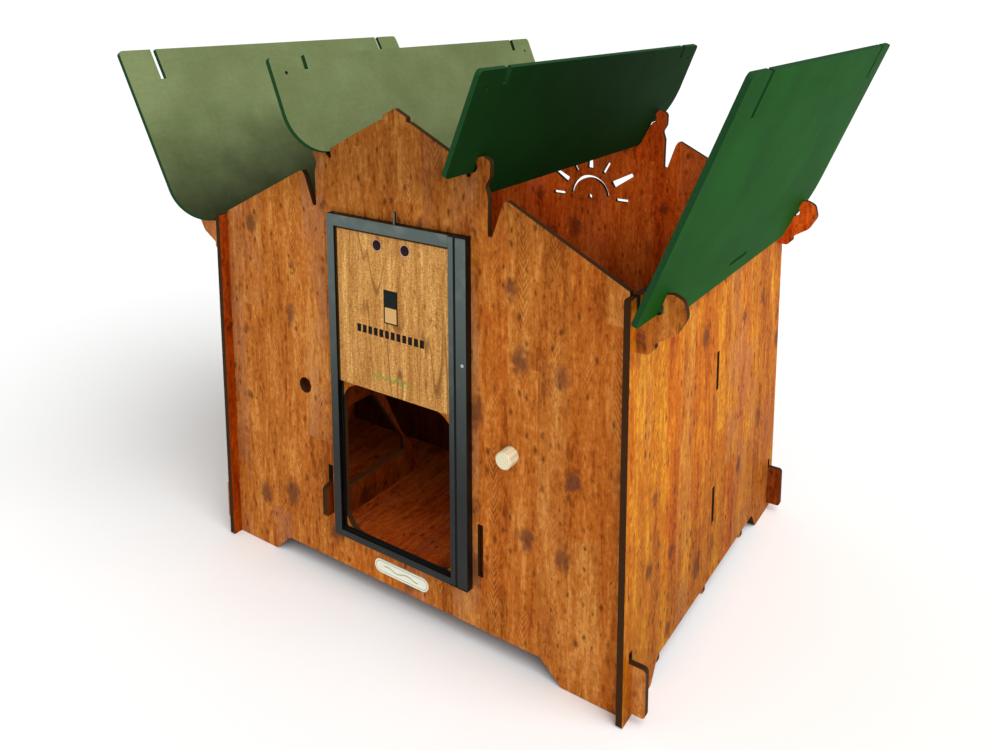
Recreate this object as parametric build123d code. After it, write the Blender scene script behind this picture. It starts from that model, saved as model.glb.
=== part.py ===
from build123d import *
import math
import os

# Chicken coop of interlocking boards with an automatic sliding door.
# Frame: millimetres, +Z up, +X to the right seen from the front, front towards -Y.
# Origin: on the ground, under the middle of the coop.

# ---------------------------------------------------------------- driving sizes
inner_width = 800.0        # between the side boards
body_depth = 634.0         # outer face of the front board to outer face of the back board
board = 10.0               # wall and floor boards
roof_board = 8.0           # roof boards
fit = 0.2                  # clearance on each side of a tab in its slot
swing_gap = 0.5            # clearance around a roof board that swings

side_overhang = 18.0       # side boards past the front and back boards
roof_overhang = 66.0       # roof boards past the front and back boards
roof_slope = 0.5           # rise over run
peak_height = 838.0        # top of the ridge cap
ridge_cap_half = 24.0
ridge_cap_rise = 4.5       # ridge cap above the gable edge

foot_inner = 302.0         # inner end of each foot of the front and back boards
foot_ramp = 36.0           # run of the curve from foot to raised edge
raised_edge = 33.0         # height of the raised bottom edges
side_foot = 78.0           # length of each foot of the side boards

perch_x = 213.5
perch_z = 339.5
perch_diameter = 27.0
perch_front = 22.0         # perch past the front board
perch_back = 12.0

# gable steps: the upper gable stands on a wider lower one
gable_half = 138.0         # half width of the upper gable edge, up to the hooks
step_floor = 746.0         # floor of the notch beside the upper gable
shoulder_x = 204.0         # upper end of the lower slope
neck_slot_width = 8.0
neck_slot_bottom = 664.0
neck_slot_lean = 17.0      # degrees from vertical

# hooks that carry the roof boards
outer_hook_reach = 28.0    # outer pivot past the side board
inner_pivot_x = 146.0
inner_pivot_rise = -1.0    # inner pivot against a board lying parallel to the gable edge
roof_seat = 8.0            # roof board below its pivot, in the hook
lean_outer_right = 22.8    # how far each open roof board leans out, degrees from vertical
lean_outer_left = 29.2
lean_inner = 22.0

outer_roof_length = 340.0  # pivot to upper edge
outer_roof_eave = 48.0     # pivot to lower edge between the gables
outer_slot_depth = 62.0
inner_roof_length = 158.0
inner_roof_eave = 58.0
inner_slot_depth = 25.0
roof_corner = 72.0         # the one large lower corner
roof_small_corner = 8.0
roof_hole_diameter = 6.0
roof_hole_inset = 28.0
eave_slot_length = 80.0
eave_slot_height = 8.0
eave_slot_drop = 14.0      # slot centre below the pivot

# corner tabs and slots
tab_bottom = 14.0
tab_height = 75.0
tab_reach = 26.0           # tab past the outer face of the side board
tab_drop = 15.0            # free slot above the tab, used to hook the boards together
arm_bottom = 544.0         # hook arm through the side board
arm_top = 591.0
side_top = 619.0

# inner boards
floor_top = 98.0
bearer_inset = 127.0       # cross boards behind the front and back boards
mid_slot_low = (134.5, 197.5)
mid_slot_high = (369.0, 435.0)
mid_frame_top = 452.0
divider_x = 158.0
divider_slot = (121.5, 208.5)
divider_reach = 16.0       # divider tab past the front board
divider_tab_high = 58.0    # lower than its slot, which lets it hook in
divider_end = 226.0        # divider length behind the front board

# door opening in the front board
opening_left = -124.0
opening_right = 108.0
opening_bottom = 100.0
opening_top = 371.0
opening_corner = 40.0

# automatic door: metal frame, leaf and drive
frame_left = -137.0
frame_right = 143.0
frame_bottom = 97.0
frame_top = 660.0
frame_deep = 14.0
lip = 2.5                  # front lip of the profiles
back_flange = 3.5
left_stile = 15.5
left_web = 7.0
top_rail = 19.0
bottom_rail = 12.0
rail_web = 4.0
right_lip_x = 110.5        # inner edge of the right-hand profile
groove_x = 120.0           # shadow groove between guide and drive box
groove_wide = 4.0
groove_deep = 1.3
box_wall = 1.5
cap_thick = 2.0
leaf_thick = 4.0
leaf_left = -129.0
leaf_right = 113.0
leaf_height = 275.0
leaf_open_z = 376.0        # bottom edge of the raised leaf
leaf_travel = 266.0
liner_wall = 1.5
window_diameter = 14.0
window_x = (-32.0, 25.0)
window_drop = 30.0         # window centres below the leaf's top edge
badge_rise = 120.0         # badge above the leaf's bottom edge
tooth_module = 1.0
pinion_teeth = 10
pinion_z = 382.5
screw_diameter = 4.0

# ------------------------------------------------------------- derived positions
half_width = inner_width / 2
outer_half = half_width + board
y_front = -body_depth / 2
y_back = body_depth / 2
roof_half = body_depth / 2 + roof_overhang
slope_angle = math.degrees(math.atan(roof_slope))
slope_cos = math.cos(math.radians(slope_angle))
half_roof = roof_board / 2
outer_pivot_x = outer_half + outer_hook_reach
bearer_y = body_depth / 2 - bearer_inset
window_z = leaf_open_z + leaf_height - window_drop


def lower_slope(x):
    """Height of the lower slope's edge at x."""
    return side_top + 5.0 + (half_width - x) * roof_slope


def gable_slope(x):
    """Height of the upper gable's edge at x."""
    return peak_height - ridge_cap_rise - x * roof_slope


lift = (half_roof + swing_gap) / slope_cos
outer_pivot = (outer_pivot_x, lower_slope(outer_pivot_x) + lift)
inner_pivot = (inner_pivot_x, gable_slope(inner_pivot_x) + lift + inner_pivot_rise)
inner_close = slope_angle + 1.0     # the inner roof boards lie a little steeper than the gable
seat_radius = math.hypot(half_roof, roof_seat) + swing_gap


# --------------------------------------------------------------------- helpers
def outline(points):
    """Closed face through (x, y, radius) corners, rounded by each radius."""
    edges = []
    count = len(points)
    ends = []
    for i in range(count):
        x, y, r = points[i]
        corner = Vector(x, y)
        if r == 0:
            ends.append((corner, corner, corner))
            continue
        before = Vector(*points[i - 1][:2]) - corner
        after = Vector(*points[(i + 1) % count][:2]) - corner
        a = before.normalized()
        b = after.normalized()
        half = math.radians(a.get_angle(b)) / 2
        run = r / math.tan(half)
        centre = corner + (a + b).normalized() * (r / math.sin(half))
        ends.append((corner + a * run, centre + (corner - centre).normalized() * r, corner + b * run))
    for i in range(count):
        start, middle, end = ends[i]
        if (end - start).length > 1e-6:
            edges.append(ThreePointArc(start, middle, end))
        following = ends[(i + 1) % count][0]
        if (following - end).length > 1e-6:
            edges.append(Line(end, following))
    return make_face(edges)


def mirrored(points):
    """The same corners on the other side of x = 0, in order."""
    return [(-x, y, r) for x, y, r in reversed(points)]


def rectangle(x0, y0, x1, y1):
    """Face between two corners."""
    return Pos((x0 + x1) / 2, (y0 + y1) / 2) * Rectangle(x1 - x0, y1 - y0)


def disc(x, y, diameter):
    return Pos(x, y) * Circle(diameter / 2)


def board_xz(face, y0, thick):
    """Board facing the front, from y0 towards the back."""
    return Pos(0, y0, 0) * extrude(Plane.XZ * face, -thick)


def board_yz(face, x0, thick):
    """Board facing the side, from x0 to the right. The face is drawn in (y, z)."""
    return Pos(x0, 0, 0) * extrude(Plane.YZ * face, thick)


def block(x0, x1, y0, y1, z0, z1):
    return Pos((x0 + x1) / 2, (y0 + y1) / 2, (z0 + z1) / 2) * Box(x1 - x0, y1 - y0, z1 - z0)


def rod_y(x, z, diameter, y0, y1):
    """Round bar along Y."""
    return Pos(x, (y0 + y1) / 2, z) * Rot(90, 0, 0) * Cylinder(diameter / 2, y1 - y0)


def rod_z(x, y, diameter, z0, z1):
    """Round bar along Z."""
    return Pos(x, y, (z0 + z1) / 2) * Cylinder(diameter / 2, z1 - z0)


def save(name, shape):
    """Write one sub-part."""
    solids = shape.solids()
    body = solids[0] if len(solids) == 1 else Compound(list(solids))
    export_step(body, f"parts/{name}.step")


# ----------------------------------------------------- front and back boards
def swing_wedge(pivot, lean, close):
    """Room that a roof board sweeps between open and closed, seen from the front."""
    px, pz = pivot
    reach = 90.0
    off = half_roof + swing_gap
    a = math.radians(90 - lean)
    b = math.radians(180 - close)
    open_side = (px + off * math.sin(a), pz - off * math.cos(a))
    open_far = (open_side[0] + reach * math.cos(a), open_side[1] + reach * math.sin(a))
    shut_side = (px - off * math.sin(b), pz + off * math.cos(b))
    shut_far = (shut_side[0] + reach * math.cos(b), shut_side[1] + reach * math.sin(b))
    corners = [open_side, open_far, (px - reach, pz + 2 * reach), shut_far, shut_side]
    return outline([(x, z, 0) for x, z in corners])


def gable_half_points():
    """Right half of the gable outline, from the ridge down to the ground."""
    ox, oz = outer_pivot
    ix, iz = inner_pivot
    neck = shoulder_x - 30
    slot_top_x = shoulder_x - 6
    lean = math.tan(math.radians(neck_slot_lean))
    slot_left = slot_top_x - neck_slot_width - (720 - neck_slot_bottom) * lean
    cap_z = gable_slope(ridge_cap_half)
    return [
        (ridge_cap_half, cap_z + ridge_cap_rise, 2),
        (ridge_cap_half, cap_z - 2, 0),
        (ridge_cap_half + 7, gable_slope(ridge_cap_half + 7), 2),
        (gable_half, gable_slope(gable_half), 3),
        (gable_half - 3, step_floor, 3),
        (ix - 3, step_floor + 3, 4),
        (ix + 6, iz - 4, 0),
        (ix + 7, iz + 12, 2),
        (ix + 19, iz + 17, 7),
        (ix + 32, iz + 10, 9),
        (ix + 31, iz - 13, 9),
        (ix + 23, iz - 27, 8),
        (neck, 722, 2),
        (slot_left, neck_slot_bottom, 3.5),
        (slot_left + neck_slot_width, neck_slot_bottom, 3.5),
        (slot_top_x, 712, 2),
        (shoulder_x + 1, lower_slope(shoulder_x + 1), 5),
        (half_width - fit, lower_slope(half_width - fit), 2),
        (half_width - fit, arm_top, 2),
        (ox - 26, arm_top + 1, 4),
        (ox - 8, oz - 10, 0),
        (ox + 8, oz + 10, 0),
        (ox + 11, oz + 20, 3),
        (ox + 22, oz + 22, 8),
        (ox + 37, oz + 16, 12),
        (ox + 42, oz - 6, 14),
        (ox + 27, oz - 31, 14),
        (ox - 2, oz - 49, 4),
        (ox - 1, oz - 56, 5),
        (ox - 11, arm_bottom, 5),
        (half_width - fit, arm_bottom, 0),
        (half_width - fit, tab_bottom + tab_height, 0),
        (outer_half + tab_reach, tab_bottom + tab_height, 6),
        (outer_half + tab_reach, tab_bottom, 6),
        (half_width - fit, tab_bottom, 0),
        (half_width - fit, 0, 3),
        (foot_inner, 0, 10),
        (foot_inner - foot_ramp, raised_edge, 14),
    ]


def gable_board():
    """Outline shared by the front and the back board."""
    right = gable_half_points()
    peak = [(0, peak_height, 3)]
    face = outline(peak + right + mirrored(right))
    for side, outer_lean in ((1, lean_outer_right), (-1, lean_outer_left)):
        for pivot, lean, close in (
            (outer_pivot, outer_lean, slope_angle),
            (inner_pivot, lean_inner, inner_close),
        ):
            wedge = swing_wedge(pivot, lean, close)
            seat = disc(pivot[0], pivot[1], 2 * seat_radius)
            room = wedge + seat
            face -= room if side == 1 else mirror(room, about=Plane.YZ)
        face -= disc(side * perch_x, perch_z, perch_diameter + 1)
        low, high = divider_slot
        x = side * divider_x
        half = board / 2 + fit
        face -= rectangle(x - half, low, x + half, high)
    return face


def door_cutout():
    centre_x = (opening_left + opening_right) / 2
    centre_z = (opening_bottom + opening_top) / 2
    wide = opening_right - opening_left
    high = opening_top - opening_bottom
    return Pos(centre_x, centre_z) * RectangleRounded(wide, high, opening_corner)


frame_screw_points = [
    (frame_left + left_web / 2, frame_bottom + 30),
    (frame_left + left_web / 2, frame_top - 30),
    (frame_right - 6, frame_bottom + 14),
    (frame_right - 6, frame_top - 14),
]


def front_board():
    face = gable_board() - door_cutout()
    for x, z in frame_screw_points:
        face -= disc(x, z, screw_diameter + 0.5)
    return board_xz(face, y_front, board)


sun_x = 6.0
sun_z = 584.0
sun_arc_radius = 43.0
sun_stroke = 6.0
ray_inner = 61.0
short_ray = 29.0
long_ray = 54.0


def sun_rays():
    """Half-sun vent: a dot, an arc, three long and four short rays."""
    cut = disc(sun_x, sun_z, 10)
    ring = Circle(sun_arc_radius + sun_stroke / 2) - Circle(sun_arc_radius - sun_stroke / 2)
    upper = rectangle(-60, 4, 60, 60)
    cut += Pos(sun_x, sun_z) * (ring & upper)
    for step in range(7):
        long_one = step % 2 == 1
        length = long_ray if long_one else short_ray
        base = 14.0 if long_one else 7.0
        corners = [(0, -base / 2, 2), (length, -3.5, 2), (length, 3.5, 2), (0, base / 2, 2)]
        ray = Pos(ray_inner, 0) * outline(corners)
        cut += Pos(sun_x, sun_z) * Rot(0, 0, 30 * step) * ray
    return cut


def back_board():
    return board_xz(gable_board() - sun_rays(), y_back - board, board)


# --------------------------------------------------------------- side boards
def side_board(side):
    """Side board with feet, corner slots and the two mid-depth slots."""
    half = body_depth / 2 + side_overhang
    inner_end = body_depth / 2 - side_foot
    ramp = 22.0
    right = [
        (half, side_top, 3),
        (half, 0, 3),
        (inner_end, 0, 8),
        (inner_end - ramp, raised_edge, 12),
    ]
    face = outline(right + mirrored(right))
    for y in (y_front, y_back - board):
        y0 = y - fit
        y1 = y + board + fit
        face -= rectangle(y0, arm_bottom - fit, y1, side_top + 1)
        face -= rectangle(y0, tab_bottom - fit, y1, tab_bottom + tab_height + tab_drop)
    mid = board / 2 + fit
    for low, high in (mid_slot_low, mid_slot_high):
        face -= rectangle(-mid, low, mid, high)
    x0 = half_width if side == 1 else -outer_half
    return board_yz(face, x0, board)


# ---------------------------------------------------------------- roof boards
def roof_blank(length, eave, slot_depth):
    """Roof board outline in (y, t): t runs up the board from the hook pivot."""
    end = roof_half
    seat_end = body_depth / 2 - board - 2
    halves = []
    for corner in (roof_corner, roof_small_corner):
        half = [
            (end, length, roof_small_corner),
            (end, -roof_seat, corner),
            (seat_end, -roof_seat, 0),
            (seat_end - 16, -eave, 10),
        ]
        halves.append(half)
    face = outline(halves[0] + mirrored(halves[1]))
    for y in (y_front, y_back - board):
        y0 = y - swing_gap
        y1 = y + board + swing_gap
        face -= rectangle(y0, length - slot_depth, y1, length + 1)
    return face


def outer_roof_face():
    face = roof_blank(outer_roof_length, outer_roof_eave, outer_slot_depth)
    return face - Pos(0, -eave_slot_drop) * SlotOverall(eave_slot_length, eave_slot_height)


def inner_roof_face():
    face = roof_blank(inner_roof_length, inner_roof_eave, inner_slot_depth)
    for side in (1, -1):
        y = side * (roof_half - roof_hole_inset)
        face -= disc(y, inner_roof_length - roof_hole_inset, roof_hole_diameter)
    return face


def roof(face, pivot, lean, side):
    """Roof board open in its hooks. The left ones are the right ones turned round."""
    turned = face if side == 1 else mirror(face, about=Plane.YZ)
    flat = Pos(-half_roof, 0, 0) * extrude(Plane.YZ * turned, roof_board)
    return Pos(side * pivot[0], 0, pivot[1]) * Rot(0, side * lean, 0) * flat


# --------------------------------------------------------------- inner boards
def floor_board():
    wide_half = floor_span()
    depth_half = body_depth / 2 - board - 0.5
    face = rectangle(-wide_half, -depth_half, wide_half, depth_half)
    plate = Pos(0, 0, floor_top - board) * extrude(face, board)
    x = -divider_x
    half = board / 2 + fit
    y0, y1 = divider_foot()
    return plate - block(x - half, x + half, y0 - fit, y1 + fit, 0, floor_top + 1)


def divider_foot():
    """Front and back end of the divider's foot in the floor board."""
    back = y_front + board + divider_end
    return back - 110, back - 60


def floor_span():
    """Half width of the boards that lie between the side boards."""
    return half_width - 0.5


def bearer(y):
    """Cross board on the ground under the floor board."""
    end = floor_span()
    right = [
        (end, floor_top - board, 0),
        (end, 0, 3),
        (foot_inner, 0, 10),
        (foot_inner - foot_ramp, raised_edge, 14),
    ]
    return board_xz(outline(right + mirrored(right)), y - board / 2, board)


def middle_bearer():
    """Cross board between the other two, with one more foot in the middle."""
    half = floor_span()
    foot = 60.0
    right = [
        (half, floor_top - board, 0),
        (half, 0, 3),
        (foot_inner, 0, 10),
        (foot_inner - foot_ramp, raised_edge, 14),
        (foot + foot_ramp, raised_edge, 14),
        (foot, 0, 10),
    ]
    return board_xz(outline(right + mirrored(right)), -board / 2, board)


def mid_frame():
    """Cross frame at mid-depth: carries the perches and backs the nest corner."""
    end = half_width - fit
    recess = 6.0
    face = rectangle(-end, floor_top, end, mid_frame_top)
    for low, high in (mid_slot_low, mid_slot_high):
        reach = outer_half - recess
        face += rectangle(-reach, low + fit, reach, high - fit)
    for side in (1, -1):
        face -= disc(side * perch_x, perch_z, perch_diameter + 1)
    passage = [(-120, floor_top - 1, 0), (-120, 300, 60), (345, 300, 60), (345, floor_top - 1, 0)]
    face -= outline(passage)
    return board_xz(face, -board / 2, board)


def nest_divider():
    """Nest side with a sill, an entrance and a curved back edge."""
    start = y_front + board
    low = divider_slot[0]
    tab = y_front - divider_reach
    foot0, foot1 = divider_foot()
    body = [
        (start, low + fit + divider_tab_high, 0),
        (tab, low + fit + divider_tab_high - 8, 2),
        (tab, low + fit, 2),
        (start, low + fit, 0),
        (start, floor_top, 0),
        (foot0, floor_top, 0),
        (foot0, floor_top - board, 0),
        (foot1, floor_top - board, 0),
        (foot1, floor_top, 0),
        (start + divider_end, floor_top, 3),
        (start + divider_end - 6, 125, 60),
        (start + 168, 200, 200),
        (start + 118, 300, 40),
        (start + 100, 335, 30),
        (start, 335, 0),
    ]
    sill = 152.0
    entrance = [
        (start + 24, sill, 6),
        (start + 178, sill, 3),
        (start + 176, sill + 26, 12),
        (start + 96, 300, 24),
        (start + 24, 300, 20),
    ]
    face = outline(body) - outline(entrance)
    return board_yz(face, -divider_x - board / 2, board)


def perch():
    bar = rod_y(perch_x, perch_z, perch_diameter, y_front - perch_front, y_back + perch_back)
    return chamfer(bar.edges().filter_by(GeomType.CIRCLE), 1.5)


# --------------------------------------------------------------- door frame
# Depths are measured from the front face of the front board, outwards.
guide_back = back_flange
guide_front = frame_deep - lip
leaf_mid = (guide_back + guide_front) / 2


def at_depth(d):
    """Y of a depth in front of the front board."""
    return y_front - d


def profile(face, z0, z1):
    """Profile drawn in (x, y), standing from z0 to z1."""
    return Pos(0, 0, z0) * extrude(face, z1 - z0)


def plan(x0, d0, x1, d1):
    """Plan rectangle between two x and two depths."""
    return rectangle(x0, at_depth(d1), x1, at_depth(d0))


def left_stile_bar():
    x1 = frame_left + left_stile
    face = plan(frame_left, 0, x1, frame_deep)
    face -= plan(frame_left + left_web, guide_back, x1, guide_front)
    bar = profile(face, frame_bottom, frame_top)
    for x, z in frame_screw_points[:2]:
        bar -= rod_y(x, z, screw_diameter, at_depth(9), at_depth(0))
    return bar


def rail(z0, z1, web_up):
    """Rail between the profiles, open towards the leaf."""
    x0 = frame_left + left_stile
    x1 = right_lip_x
    body = block(x0, x1, at_depth(frame_deep), at_depth(0), z0, z1)
    g0 = z0 - 1 if web_up else z0 + rail_web
    g1 = z1 - rail_web if web_up else z1 + 1
    return body - block(x0 - 1, x1 + 1, at_depth(guide_front), at_depth(guide_back), g0, g1)


def right_profile():
    """Guide and drive box in one profile."""
    face = plan(right_lip_x, 0, frame_right, frame_deep)
    box_x = groove_x + groove_wide + box_wall
    face -= plan(right_lip_x, guide_back, box_x + 1, guide_front)
    face -= plan(box_x, box_wall, frame_right - box_wall, frame_deep - box_wall)
    face -= plan(groove_x, frame_deep - groove_deep, groove_x + groove_wide, frame_deep)
    bar = profile(face, frame_bottom + cap_thick, frame_top - cap_thick)
    for x, z in frame_screw_points[2:]:
        bar -= rod_y(x, z, screw_diameter + 0.5, at_depth(box_wall), at_depth(0))
    x, z = box_screw
    return bar - rod_y(x, z, 3.4, at_depth(frame_deep), at_depth(frame_deep - box_wall))


def end_caps():
    caps = []
    for z in (frame_bottom, frame_top - cap_thick):
        cap = block(right_lip_x, frame_right, at_depth(frame_deep), at_depth(0), z, z + cap_thick)
        caps.append(cap)
    return Compound(caps)


def groove_strip():
    x0 = groove_x + 0.2
    x1 = groove_x + groove_wide - 0.2
    z0 = frame_bottom + cap_thick
    z1 = frame_top - cap_thick
    return block(x0, x1, at_depth(frame_deep - 0.5), at_depth(frame_deep - groove_deep), z0, z1)


def guide_liners():
    """Plastic strips that line both guides."""
    z0 = frame_bottom + bottom_rail
    z1 = frame_top - rail_web - 1
    strips = []
    sides = (
        (frame_left + left_web, frame_left + left_stile - 1),
        (right_lip_x + 1, leaf_right - 0.5),
    )
    for x0, x1 in sides:
        front = (guide_front - liner_wall, guide_front)
        back = (guide_back, guide_back + liner_wall)
        for d0, d1 in (front, back):
            strips.append(block(x0, x1, at_depth(d1), at_depth(d0), z0, z1))
    return Compound(strips)


def bottom_seal():
    """Rubber strip that the leaf closes on."""
    z0 = frame_bottom + rail_web
    z1 = leaf_open_z - leaf_travel - 0.5
    x0 = frame_left + left_stile + 1
    x1 = right_lip_x - 1
    return block(x0, x1, at_depth(leaf_mid + 3), at_depth(leaf_mid - 3), z0, z1)


# -------------------------------------------------------------- leaf and drive
leaf_y0 = at_depth(leaf_mid + leaf_thick / 2)
leaf_y1 = at_depth(leaf_mid - leaf_thick / 2)
pitch_radius = tooth_module * pinion_teeth / 2
rack_pitch_x = leaf_right + 5.5
pinion_x = rack_pitch_x + pitch_radius
tooth_pitch = math.pi * tooth_module
drive_x = (groove_x + groove_wide + frame_right) / 2
drive_y = at_depth(frame_deep / 2)
box_screw = (drive_x + 3, 464.0)


def leaf():
    face = rectangle(leaf_left, leaf_open_z, leaf_right, leaf_open_z + leaf_height)
    for x in window_x:
        face -= disc(x, window_z, window_diameter + 0.4)
    return board_xz(face, leaf_y0, leaf_thick)


def window_rims():
    """Metal rims of the two open round windows."""
    rims = []
    for x in window_x:
        rim = rod_y(x, window_z, window_diameter, leaf_y0 - 0.8, leaf_y1 + 0.8)
        flange = rod_y(x, window_z, window_diameter + 5, leaf_y0 - 0.8, leaf_y0)
        bore = rod_y(x, window_z, window_diameter - 2, leaf_y0 - 2, leaf_y1 + 2)
        rims.append(rim + flange - bore)
    return Compound(rims)


def badge():
    """Plain plate with a raised upper half."""
    x = -6.0
    z = leaf_open_z + badge_rise
    low = block(x - 14, x + 14, leaf_y0 - 0.5, leaf_y0, z, z + 55)
    high = block(x - 12, x + 12, leaf_y0 - 0.9, leaf_y0 - 0.5, z + 27, z + 53)
    return low + high


def rack_face():
    """Rack drawn in (x, z), teeth towards the pinion."""
    bottom = leaf_open_z
    top = frame_top - rail_web - 1
    root = rack_pitch_x - 1.2 * tooth_module
    tip = rack_pitch_x + 0.9 * tooth_module
    slim = 0.05 * tooth_module
    face = rectangle(leaf_right, bottom, root, top)
    first = math.ceil((bottom + tooth_pitch - pinion_z) / tooth_pitch - 0.5)
    last = math.floor((top - tooth_pitch - pinion_z) / tooth_pitch - 0.5)
    slant = math.tan(math.radians(20))
    half_root = tooth_pitch / 4 + 1.2 * slant - slim
    half_tip = tooth_pitch / 4 - 0.9 * slant - slim
    for n in range(first, last + 1):
        z = pinion_z + (n + 0.5) * tooth_pitch
        tooth = [
            (root, z - half_root, 0),
            (tip, z - half_tip, 0),
            (tip, z + half_tip, 0),
            (root, z + half_root, 0),
        ]
        face += outline(tooth)
    return face


def rack():
    return board_xz(rack_face(), leaf_y0, leaf_thick)


def pinion():
    """Toothed wheel on its shaft, turning on an axis along Y."""
    outer = pitch_radius + 0.85 * tooth_module
    root = pitch_radius - 1.3 * tooth_module
    wheel = Circle(root)
    slim = 0.12 * tooth_module
    half_pitch = tooth_pitch / 4 - slim
    for n in range(pinion_teeth):
        tooth = [
            (-outer, -0.22 * tooth_pitch / 2, 0),
            (-pitch_radius, -half_pitch, 0),
            (-root + 0.3, -1.15 * half_pitch, 0),
            (-root + 0.3, 1.15 * half_pitch, 0),
            (-pitch_radius, half_pitch, 0),
            (-outer, 0.22 * tooth_pitch / 2, 0),
        ]
        wheel += Rot(0, 0, 360 / pinion_teeth * n) * outline(tooth)
    gear = board_xz(Pos(pinion_x, pinion_z) * wheel, leaf_y0, leaf_thick)
    shaft = rod_y(pinion_x, pinion_z, 3, at_depth(guide_front - 0.3), at_depth(guide_back + 0.3))
    return gear + shaft


def gearbox():
    """Gear housing with a bearing plate on each side of the pinion."""
    z0 = pinion_z - 14
    z1 = pinion_z + 16
    y0 = at_depth(frame_deep - box_wall - 0.3)
    y1 = at_depth(box_wall + 0.3)
    house = block(pinion_x + 7, frame_right - box_wall - 0.3, y0, y1, z0, z1)
    plate = 1.5
    for d0 in (guide_back + 0.2, guide_front - 0.2 - plate):
        ear = block(groove_x + 0.5, pinion_x + 8, at_depth(d0 + plate), at_depth(d0), z0 + 6, z1 - 6)
        house += ear
    return house - rod_y(pinion_x, pinion_z, 3.6, y0, y1)


def motor():
    z0 = pinion_z + 16
    body = Pos(drive_x + 0.8, drive_y, z0 + 13) * Box(12, 10, 26)
    body = fillet(body.edges().filter_by(Axis.Z), 2)
    boss = rod_z(drive_x + 0.8, drive_y, 4, z0 + 26, z0 + 28)
    return body + boss


cell_diameter = 10.4
cell_length = 44.5


def cells():
    """Three round cells end to end, each with its raised contact."""
    group = []
    for n in range(3):
        z0 = frame_bottom + 30 + n * (cell_length + 0.3)
        can = rod_z(drive_x, drive_y, cell_diameter, z0, z0 + cell_length - 1)
        can += rod_z(drive_x, drive_y, 3.6, z0 + cell_length - 1, z0 + cell_length)
        group.append(can)
    return Compound(group)


def contacts():
    """Sheet contacts at both ends of the row of cells."""
    z0 = frame_bottom + 30
    z1 = z0 + 3 * (cell_length + 0.3)
    y0 = drive_y - 5.2
    y1 = drive_y + 5.2
    low = block(drive_x - 7.6, drive_x + 7.6, y0, y1, z0 - 1.2, z0 - 0.2)
    high = block(drive_x - 7.6, drive_x + 7.6, y0, y1, z1, z1 + 1)
    return Compound([low, high])


def control_board():
    """Circuit board on a carrier that the box screw holds."""
    x, z = box_screw
    y1 = at_depth(frame_deep - box_wall)
    carrier = block(x - 10, x + 3, y1 + 0.1, y1 + 4, z - 26, z + 26)
    carrier -= rod_y(x, z, 2.6, y1, y1 + 4)
    plate = block(x - 10, x + 3, y1 + 4, y1 + 5.6, z - 30, z + 30)
    chips = block(x - 8, x, y1 + 5.6, y1 + 7.2, z + 8, z + 18)
    chips += block(x - 8, x, y1 + 5.6, y1 + 8.4, z - 20, z - 10)
    return carrier + plate + chips - rod_y(x, z, 2.6, y1, y1 + 5.6)


def control_screw():
    """Pan-head screw on the face of the drive box."""
    x, z = box_screw
    face_y = at_depth(frame_deep)
    head = rod_y(x, z, 5.5, face_y - 1.6, face_y)
    head = fillet(head.edges().sort_by(Axis.Y)[:1], 0.9)
    slot = block(x - 3, x + 3, face_y - 2, face_y - 1.0, z - 0.4, z + 0.4)
    shank = rod_y(x, z, 2.5, face_y, face_y + frame_deep - 8.6)
    return head + shank - slot


def frame_screws():
    """Screws from inside the coop through the front board into the door frame."""
    inside = y_front + board
    screws = []
    for n, (x, z) in enumerate(frame_screw_points):
        head = rod_y(x, z, 8, inside, inside + 2.6)
        head = fillet(head.edges().sort_by(Axis.Y)[-1:], 1.2)
        head -= rod_y(x, z, 2.5, inside + 1.2, inside + 3)
        reach = 8.0 if n < 2 else 4.5
        screws.append(head + rod_y(x, z, screw_diameter - 0.1, at_depth(reach), inside))
    return Compound(screws)


def sensor():
    """Light sensor stalk on the top rail."""
    x = 5.0
    y = at_depth(frame_deep - 5)
    stalk = rod_z(x, y, 5, frame_top, frame_top + 20)
    collar = rod_z(x, y, 7, frame_top, frame_top + 2)
    return fillet(stalk.edges().sort_by(Axis.Z)[-1:], 1.5) + collar


def label():
    """Plain oval plate under the door."""
    face = Pos(-2, 63) * SlotOverall(114, 24)
    return board_xz(face, y_front - 1.5, 1.5)


# -------------------------------------------------------------------- output
os.makedirs("parts", exist_ok=True)

save("front_panel", front_board())
save("back_panel", back_board())
save("left_side_panel", side_board(-1))
save("right_side_panel", side_board(1))
save("outer_roof_left", roof(outer_roof_face(), outer_pivot, lean_outer_left, -1))
save("outer_roof_right", roof(outer_roof_face(), outer_pivot, lean_outer_right, 1))
save("inner_roof_left", roof(inner_roof_face(), inner_pivot, lean_inner, -1))
save("inner_roof_right", roof(inner_roof_face(), inner_pivot, lean_inner, 1))
save("floor_panel", floor_board())
save("floor_bearer_front", bearer(-bearer_y))
save("floor_bearer_back", bearer(bearer_y))
save("floor_bearer_middle", middle_bearer())
save("mid_frame", mid_frame())
save("nest_divider", nest_divider())
save("perch", perch())
save("frame_left_stile", left_stile_bar())
save("frame_right_profile", right_profile())
save("frame_top_rail", rail(frame_top - top_rail, frame_top, True))
save("frame_bottom_rail", rail(frame_bottom, frame_bottom + bottom_rail, False))
save("profile_end_caps", end_caps())
save("profile_groove_strip", groove_strip())
save("guide_liners", guide_liners())
save("bottom_seal", bottom_seal())
save("door_leaf", leaf())
save("door_window_rims", window_rims())
save("door_badge", badge())
save("door_rack", rack())
save("drive_pinion", pinion())
save("drive_gearbox", gearbox())
save("drive_motor", motor())
save("battery_cells", cells())
save("battery_contacts", contacts())
save("control_board", control_board())
save("control_screw", control_screw())
save("frame_screws", frame_screws())
save("light_sensor", sensor())
save("label_plate", label())

print("outer pivot", outer_pivot, "inner pivot", inner_pivot)
print("slope", slope_angle, "rack ratio", 1000 / pitch_radius)
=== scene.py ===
"""Looks of the chicken coop: wood-effect boards, green roof boards, metal door frame and oak leaf."""

import math

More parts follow.
